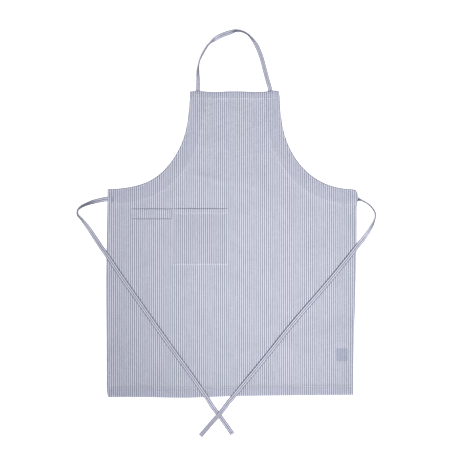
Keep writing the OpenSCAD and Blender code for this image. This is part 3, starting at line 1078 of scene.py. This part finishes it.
def pocket_layers(x, y):
    """How far the pocket is doubled: fully at its hem and in its seam margins."""
    side, foot, mouth = inside_edges(POCKET, x, y)
    single = np.min([side - SEAM_MARGIN, foot - SEAM_MARGIN, mouth - POCKET_HEM], axis=0)
    return 1 - 0.8 * step_up(single, 2 * STEP)


def build_pocket(material, thread):
    """The patch pocket, its stitching, and the bartacks at its mouth's corners."""
    left, foot, right, top = POCKET
    hem_in = POCKET_HEM - HEM_STITCH
    mouth = [0, 0.0006, 0.0014, 0.004, 0.008, hem_in - 0.001, hem_in, hem_in + 0.001]
    mouth += [POCKET_HEM - STEP / 2, POCKET_HEM + STEP / 2, 0.018]
    sides = EDGE_COLUMNS + [SEAM_MARGIN - STEP / 2, SEAM_MARGIN + STEP / 2, 0.008]
    xs, ys = edged(left, right, sides, sides), edged(foot, top, sides, mouth)
    piece, face = patch("pocket_cloth", xs, ys, pocket_lift, pocket_layers, material, "pocket_panel")
    west, east, south = left + HEM_STITCH, right - HEM_STITCH, foot + HEM_STITCH
    corners = [(west, top - 0.001), (west, south), (east, south), (east, top - 0.001)]
    sew_rows("pocket_seam", [line(*ends) for ends in zip(corners, corners[1:])], face, thread)
    hem_y = top - POCKET_HEM + HEM_STITCH
    sew_rows("pocket_hem", [line((left + 0.003, hem_y), (right - 0.003, hem_y))], face, thread)
    tacks = [(x, top - BARTACK) for x in (west + 0.001, east - 0.001)]
    node = "pocket_corner_bartacks"
    bartack_piece("pocket_corner_thread", tacks, BARTACK, CORNER_BARTACK, face, thread, node)


def loop_lift(x, y):
    """How far the towel loop stands off the panel between its two sewn ends."""
    end, foot, top = inside_edges(LOOP, x, y)
    edge = np.minimum(foot, top)
    sag = 1 - 0.18 * foot / (LOOP[3] - LOOP[1])
    seam, row = pressed(end - HEM_STITCH), pressed(edge - EDGE_STITCH / 2)
    fold = rounded(np.minimum(edge, end), 0.0016)
    gape = LOOP_GAPE * crown(sewn_span(LOOP, x)) * sag
    return gape + PATCH_GAP - PRESS * seam - PRESS * fold - PRESS * row


def loop_layers(x, y):
    """The towel loop is sewn double all over."""
    return np.ones(np.shape(x))


def loop_edge_shade(x, y):
    """Painted shade along the towel loop's lower edge, which rolls out of the light: 1 there and 0 away
    from it.
    """
    return 1 - smooth((y - LOOP[1] - 0.0016) / 0.0012)


def build_loop(material, thread):
    """The towel loop, with its stitching."""
    left, foot, right, top = LOOP
    edge = [0, 0.0006, 0.0014, EDGE_STITCH / 2, 0.0036, 0.0055]
    xs, ys = edged(left, right, spacing=0.0035), edged(foot, top, edge, edge, spacing=0.0035)
    piece, face = patch(
        "towel_loop_cloth", xs, ys, loop_lift, loop_layers, material, "towel_loop", loop_edge_shade)
    ends = [left + HEM_STITCH, right - HEM_STITCH]
    runs = [line((x, foot + 0.001), (x, top - 0.001)) for x in ends]
    runs += [line((ends[0], y), (ends[1], y)) for y in (foot + EDGE_STITCH / 2, top - EDGE_STITCH / 2)]
    sew_rows("towel_loop", runs, face, thread)


def build_label(material, thread):
    """The blank label behind the skirt, sewn along its right edge."""
    left, foot, right, top = LABEL
    count = 14
    x, y = (values.ravel() for values in np.meshgrid(*np.linspace((left, foot), (right, top), count).T))
    face = 0.00038 + 0.00004 * np.sin(160 * y)
    vertices, faces = shell(np.column_stack([x, y]), grid_faces(count, count), face, face - 0.00025)
    piece = cloth_piece("blank_label", vertices, faces, material, "label", "care_label")
    seam_x = right - HEM_STITCH
    seam = [line((seam_x, foot), (seam_x, top))]
    sew_rows("label", seam, panel_face, thread, node="care_label_stitching")


# ---------------- thread


def stitch_form(length, radius, sides=6):
    """One stitch along X that dips into the cloth at both ends: its points, quads and end caps."""
    stations = [-0.5, -0.42, -0.2, 0.2, 0.42, 0.5]
    thickness = [0.35, 0.85, 1.0, 1.0, 0.85, 0.35]
    rise = [-0.9, -0.2, 0.25, 0.25, -0.2, -0.9]
    rows = []
    for at, thick, up in zip(stations, thickness, rise):
        for turn in np.arange(sides) * 2 * math.pi / sides:
            out, high = math.cos(turn) * thick, math.sin(turn) * thick + up
            rows.append((at * length, out * radius, high * radius))
    quads, caps = tube_faces(len(stations), sides)
    return np.array(rows), np.array(quads), caps


def sew(centres, tangents, ups, length=STITCH_LENGTH, radius=THREAD_RADIUS, slant=0.10):
    """Stitches at centres, each along its tangent with a small random slant."""
    form, quads, caps = stitch_form(length, radius)
    count, size = len(centres), len(form)
    sideways = np.cross(ups, tangents)
    angles = random.normal(slant, 0.05, count)[:, None]
    heading = tangents * np.cos(angles) + sideways * np.sin(angles)
    sideways = np.cross(ups, heading)
    vertices = (
        centres[:, None]
        + heading[:, None] * form[None, :, :1]
        + sideways[:, None] * form[None, :, 1:2]
        + ups[:, None] * form[None, :, 2:]
    )
    faces = []
    for index in range(count):
        offset = index * size
        faces += (quads + offset).tolist()
        faces += [[corner + offset for corner in cap] for cap in caps]
    return vertices.reshape(-1, 3), faces


def sewn_run(points, height, radius):
    """Stitches along a line of points on the cloth, whose face is at height(x, y)."""
    marks = resampled(points, STITCH_PITCH)
    centres = (marks[1:] + marks[:-1]) / 2
    tangents = np.diff(marks, axis=0)
    tangents /= np.linalg.norm(tangents, axis=1)[:, None]
    tangents = np.column_stack([tangents, np.zeros(len(centres))])
    z = height(centres[:, 0], centres[:, 1]) + radius * 0.35
    ups = np.tile([0, 0, 1.0], (len(centres), 1))
    return sew(np.column_stack([centres, z]), tangents, ups, radius=radius)


def sew_rows(name, runs, height, material, radius=THREAD_RADIUS, node=None):
    """Rows of stitching along runs of points."""
    parts = [sewn_run(run, height, radius) for run in runs]
    cloth_piece(f"{name}_thread", *joined(parts), material, "thread", node or f"{name}_stitching")


def bartack_piece(name, centres, width, length, height, material, node):
    """Dense short stitches, side by side along Y, at each centre."""
    parts = []
    for centre_x, centre_y in centres:
        y = np.arange(centre_y - length / 2, centre_y + length / 2 + 1e-6, BARTACK_PITCH)
        x = np.full(len(y), centre_x)
        place = np.column_stack([x, y, height(x, y) + BARTACK_THREAD * 0.6])
        across, ups = (np.tile(direction, (len(y), 1)) for direction in ([1.0, 0, 0], [0, 0, 1.0]))
        parts.append(sew(place, across, ups, length=width, radius=BARTACK_THREAD, slant=0.06))
    cloth_piece(name, *joined(parts), material, "thread", node)


def build_panel_thread(thread, tack_thread):
    """Every row of stitching on the panel, and the bartacks over the tapes' sewn ends."""
    face = panel_face
    hem_y = BIB_TOP - BIB_HEM + HEM_STITCH
    top = [line((BIB_LEFT + LINE_MARGIN, hem_y), (BIB_RIGHT - LINE_MARGIN, hem_y))]
    sew_rows("bib_hem", top, face, thread)
    up = BOTTOM_HEM - HEM_STITCH
    bottom = [line(HEM_LEFT + [LINE_MARGIN, up], HEM_RIGHT + [-LINE_MARGIN, up])]
    sew_rows("bottom_hem", bottom, face, thread)
    for side, name in SIDES:
        run = resampled(inset_run(name, SIDE_HEM - HEM_STITCH), 0.002)
        run = run[(run[:, 1] < WAIST_Y - FACING_WIDTH) & (run[:, 1] > HEM_Y + BOTTOM_HEM)]
        sew_rows(f"{name}_side", [run], face, thread)
        insides = (EDGE_STITCH, FACING_WIDTH - HEM_STITCH)
        curves = [resampled(armhole(side, grow, TURNS), 0.002) for grow in insides]
        runs = [curve[curve[:, 1] < BIB_TOP - BIB_HEM] for curve in curves]
        sew_rows(f"{name}_armhole", runs, face, thread, ARMHOLE_THREAD)
        tack = [(side * (SIDE_X - TIE_TAIL / 2), TIE_Y)]
        node = f"{name}_tie_bartack"
        bartack_piece(f"{name}_tie_tack", tack, BARTACK, TAPE_WIDTH, face, tack_thread, node)
    tacks = [(x, BIB_TOP - 0.007) for x in (STRAP_LEFT, STRAP_RIGHT)]
    bartack_piece("neck_strap_tacks", tacks, TAPE_WIDTH, BARTACK, face, tack_thread, "neck_strap_bartacks")


add_camera()
add_lights()
add_table()
striped_cloth = cloth_material("striped_cloth", 0.0)
# The sewn-on cloth gets painted shade all over and is painted lighter where it is doubled
patch_cloth = cloth_material(
    "patch_cloth", 0.0007, shade=(0.945, 0.945, 0.945, 1), doubled=(1.06, 1.06, 1.05, 1))
facing_cloth = cloth_material("facing_cloth", 0.0024, shade=(0.97, 0.97, 0.985, 1))
white_thread = thread_material("sewing_thread", (0.86, 0.88, 0.94, 1), (0.95, 0.96, 0.99, 1))
tape_thread = thread_material("tape_thread", (0.50, 0.52, 0.62, 1), (0.62, 0.64, 0.74, 1))
build_tapes(tape_material(), tape_thread)
build_panel(striped_cloth)
build_facings(facing_cloth)
build_pocket(patch_cloth, white_thread)
build_loop(patch_cloth, tape_thread)
build_label(label_material(), white_thread)
build_panel_thread(white_thread, tape_thread)
